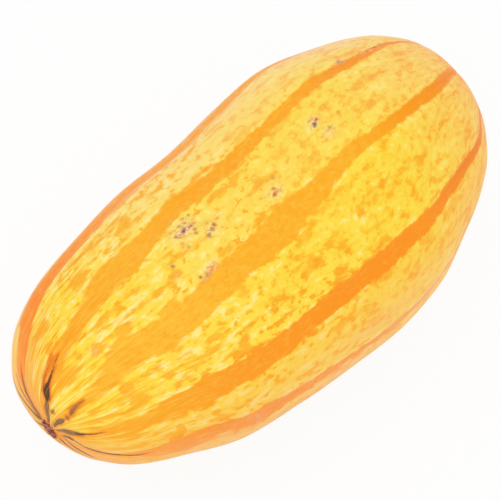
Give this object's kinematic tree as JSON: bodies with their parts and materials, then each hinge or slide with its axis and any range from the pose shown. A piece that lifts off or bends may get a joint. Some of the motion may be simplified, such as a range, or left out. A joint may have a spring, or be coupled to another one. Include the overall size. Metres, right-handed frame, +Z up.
{
  "type": "spaghetti squash",
  "caption": "Oblong spaghetti squash with shallow furrows, a slight bow and waist, and a cut stalk stub, lying on its side.",
  "frame": {"origin": "on the surface the fruit rests on, under the middle of its bounding box", "axes": "+X along the fruit from the blossom end to the stem end, +Z up, the bow's outer side towards -Y"},
  "size_m": [0.2408, 0.1248, 0.1247],
  "materials": {
    "rind": "satin",
    "stalk": "matte"
  },
  "bodies": {
    "root": {"fruit": "rind", "stem": "stalk"}
  },
  "joints": []
}
